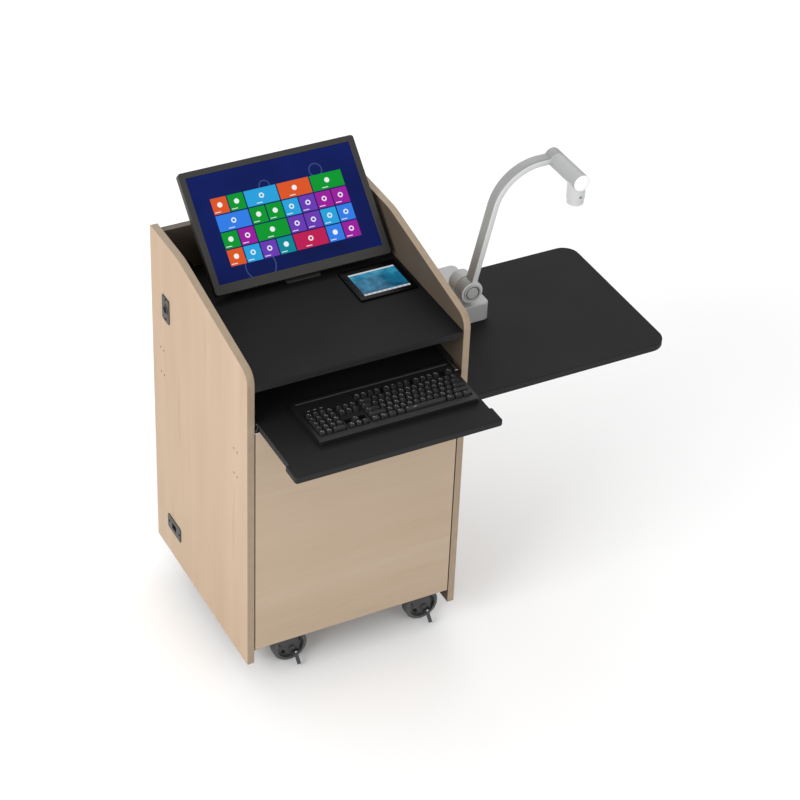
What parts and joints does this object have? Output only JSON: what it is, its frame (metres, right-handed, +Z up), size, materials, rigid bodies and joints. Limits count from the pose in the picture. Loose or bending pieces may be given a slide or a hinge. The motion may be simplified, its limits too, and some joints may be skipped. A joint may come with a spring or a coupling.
{
  "type": "lectern stand",
  "caption": "Wheeled wooden lectern with keyboard tray, tilting monitor, touch panel, fold-down side shelf and document camera",
  "frame": {"origin": "on the floor below the middle of the outer box", "axes": "+X across toward the side shelf, +Y back away from the user, +Z up"},
  "size_m": [1.2022, 0.8312, 1.2145],
  "materials": {
    "maple": "satin maple-pattern laminate, grain upright",
    "door_maple": "satin maple-pattern laminate, grain across",
    "back_board": "brown board",
    "black_laminate": "black board with a fine texture",
    "black_metal": "black powder coat",
    "zinc": "bright zinc",
    "black_plastic": "fine satin black",
    "keycap_black": "worn satin black",
    "screen_glass": "lit display panel",
    "touch_glass": "lit glossy panel",
    "gloss_black": "gloss black",
    "camera_grey": "light grey satin",
    "camera_white": "white satin",
    "camera_dark": "dark satin",
    "lens_glass": "coated lens",
    "caster_metal": "dark grey paint",
    "caster_rubber": "dark grey tread"
  },
  "bodies": {
    "cabinet": {"left_side_panel": "maple", "right_side_panel": "maple", "back_panel": "back_board", "bottom_panel": "back_board", "worktop": "black_laminate", "upper_port_plate": "black_plastic", "lower_port_plate": "black_plastic", "port_plate_screws": "black_metal", "door_pivots": "zinc", "door_catch": "black_plastic", "slide_rails": "black_metal", "bracket_wall_legs": "black_metal", "bracket_wall_bolts": "zinc", "monitor_foot": "black_metal", "monitor_foot_screws": "black_metal", "touch_panel_frame": "gloss_black", "touch_panel_glass": "touch_glass", "caster_plates": "zinc", "caster_bolts": "zinc"},
    "door": {"front_door": "door_maple", "catch_plate": "zinc"},
    "tray": {"keyboard_tray": "black_laminate", "tray_runners": "zinc", "keyboard_case": "black_plastic"},
    "touch_keys": {"touch_panel_keys": "black_plastic"},
    "monitor": {"monitor_bezel": "black_plastic", "monitor_screen": "screen_glass", "monitor_back_shell": "black_plastic", "monitor_bracket": "black_metal"},
    "shelf": {"shelf_board": "black_laminate", "bracket_arms": "black_metal", "shelf_screws": "zinc", "camera_base": "camera_grey", "camera_hub": "camera_grey"},
    "struts": {"bracket_struts": "black_metal"},
    "arm": {"camera_arm": "camera_grey", "camera_hub_cap": "camera_grey"},
    "head": {"camera_head": "camera_grey", "camera_head_cap": "camera_white", "camera_barrel": "camera_grey"},
    "focus": {"camera_focus_ring": "camera_grey", "camera_lens": "lens_glass"},
    "button": {"camera_button": "camera_dark"},
    "main_keys_body": {"main_keys": "keycap_black"},
    "space_bar_body": {"space_bar": "keycap_black"},
    "function_keys_body": {"function_keys": "keycap_black"},
    "navigation_keys_body": {"navigation_keys": "keycap_black"},
    "arrow_keys_body": {"arrow_keys": "keycap_black"},
    "number_pad_keys_body": {"number_pad_keys": "keycap_black"},
    "fork_front_left": {"caster_fork_front_left": "caster_metal"},
    "wheel_front_left": {"caster_wheel_front_left": "caster_rubber"},
    "pedal_front_left": {"brake_pedal_front_left": "caster_metal"},
    "fork_front_right": {"caster_fork_front_right": "caster_metal"},
    "wheel_front_right": {"caster_wheel_front_right": "caster_rubber"},
    "pedal_front_right": {"brake_pedal_front_right": "caster_metal"},
    "fork_rear_left": {"caster_fork_rear_left": "caster_metal"},
    "wheel_rear_left": {"caster_wheel_rear_left": "caster_rubber"},
    "fork_rear_right": {"caster_fork_rear_right": "caster_metal"},
    "wheel_rear_right": {"caster_wheel_rear_right": "caster_rubber"}
  },
  "joints": [
    {"name": "door_hinge", "type": "hinge", "parent": "cabinet", "child": "door", "pos_m": [-0.56895, -0.18961, 0.474], "axis": [0, 0, -1], "range_deg": [0, 110]},
    {"name": "tray_slide", "type": "slide", "parent": "cabinet", "child": "tray", "axis": [0, -1, 0], "range_m": [-0.207, 0.093]},
    {"name": "monitor_tilt", "type": "hinge", "parent": "cabinet", "child": "monitor", "pos_m": [-0.27395, 0.26937, 0.98609], "axis": [1, 0, 0], "range_deg": [-10, 1]},
    {"name": "shelf_fold", "type": "hinge", "parent": "cabinet", "child": "shelf", "pos_m": [0.02505, 0.05989, 0.724], "axis": [0, 1, 0], "range_deg": [0, 90]},
    {"name": "strut_fold", "type": "hinge", "parent": "shelf", "child": "struts", "pos_m": [0.12505, 0.05989, 0.724], "axis": [0, 1, 0], "range_deg": [-135, 0]},
    {"name": "camera_arm_pivot", "type": "hinge", "parent": "shelf", "child": "arm", "pos_m": [0.16605, 0.10639, 0.851], "axis": [0, 1, 0], "range_deg": [-30, 40]},
    {"name": "camera_head_roll", "type": "hinge", "parent": "arm", "child": "head", "pos_m": [0.39305, 0.09639, 1.192], "axis": [0, 1, 0], "range_deg": [-90, 90]},
    {"name": "focus_turn", "type": "hinge", "parent": "head", "child": "focus", "pos_m": [0.39305, -0.00961, 1.132], "axis": [0, 0, 1], "range_deg": [-90, 90]},
    {"name": "camera_button_press", "type": "slide", "parent": "head", "child": "button", "axis": [0, 1, 0], "range_m": [0, 0.0015], "stiffness_N_per_m": 300, "springref_m": -0.001},
    {"name": "touch_keys_press", "type": "slide", "parent": "cabinet", "child": "touch_keys", "axis": [0, 0, -1], "range_m": [0, 0.0008], "stiffness_N_per_m": 1000, "springref_m": -0.001},
    {"name": "main_keys_press", "type": "slide", "parent": "tray", "child": "main_keys_body", "axis": [0, 0, -1], "range_m": [0, 0.0035], "stiffness_N_per_m": 2000, "springref_m": -0.0015},
    {"name": "space_bar_press", "type": "slide", "parent": "tray", "child": "space_bar_body", "axis": [0, 0, -1], "range_m": [0, 0.0035], "stiffness_N_per_m": 2000, "springref_m": -0.0015},
    {"name": "function_keys_press", "type": "slide", "parent": "tray", "child": "function_keys_body", "axis": [0, 0, -1], "range_m": [0, 0.0035], "stiffness_N_per_m": 2000, "springref_m": -0.0015},
    {"name": "navigation_keys_press", "type": "slide", "parent": "tray", "child": "navigation_keys_body", "axis": [0, 0, -1], "range_m": [0, 0.0035], "stiffness_N_per_m": 2000, "springref_m": -0.0015},
    {"name": "arrow_keys_press", "type": "slide", "parent": "tray", "child": "arrow_keys_body", "axis": [0, 0, -1], "range_m": [0, 0.0035], "stiffness_N_per_m": 2000, "springref_m": -0.0015},
    {"name": "number_pad_keys_press", "type": "slide", "parent": "tray", "child": "number_pad_keys_body", "axis": [0, 0, -1], "range_m": [0, 0.0035], "stiffness_N_per_m": 2000, "springref_m": -0.0015},
    {"name": "swivel_front_left", "type": "hinge", "parent": "cabinet", "child": "fork_front_left", "pos_m": [-0.49095, -0.12361, 0.114], "axis": [0, 0, 1], "continuous": true},
    {"name": "roll_front_left", "type": "hinge", "parent": "fork_front_left", "child": "wheel_front_left", "pos_m": [-0.44895, -0.12361, 0.048], "axis": [0, 1, 0], "continuous": true},
    {"name": "brake_front_left", "type": "hinge", "parent": "fork_front_left", "child": "pedal_front_left", "pos_m": [-0.44045, -0.15061, 0.035], "axis": [-1, 0, 0], "range_deg": [0, 20]},
    {"name": "swivel_front_right", "type": "hinge", "parent": "cabinet", "child": "fork_front_right", "pos_m": [-0.10295, -0.12361, 0.114], "axis": [0, 0, 1], "continuous": true},
    {"name": "roll_front_right", "type": "hinge", "parent": "fork_front_right", "child": "wheel_front_right", "pos_m": [-0.06095, -0.12361, 0.048], "axis": [0, 1, 0], "continuous": true},
    {"name": "brake_front_right", "type": "hinge", "parent": "fork_front_right", "child": "pedal_front_right", "pos_m": [-0.05245, -0.15061, 0.035], "axis": [-1, 0, 0], "range_deg": [0, 20]},
    {"name": "swivel_rear_left", "type": "hinge", "parent": "cabinet", "child": "fork_rear_left", "pos_m": [-0.49095, 0.32439, 0.114], "axis": [0, 0, 1], "continuous": true},
    {"name": "roll_rear_left", "type": "hinge", "parent": "fork_rear_left", "child": "wheel_rear_left", "pos_m": [-0.44895, 0.32439, 0.048], "axis": [0, 1, 0], "continuous": true},
    {"name": "swivel_rear_right", "type": "hinge", "parent": "cabinet", "child": "fork_rear_right", "pos_m": [-0.10295, 0.32439, 0.114], "axis": [0, 0, 1], "continuous": true},
    {"name": "roll_rear_right", "type": "hinge", "parent": "fork_rear_right", "child": "wheel_rear_right", "pos_m": [-0.06095, 0.32439, 0.048], "axis": [0, 1, 0], "continuous": true}
  ],
  "couplings": [
    {"joint": "strut_fold", "follows": "shelf_fold", "ratio": -1.5}
  ]
}
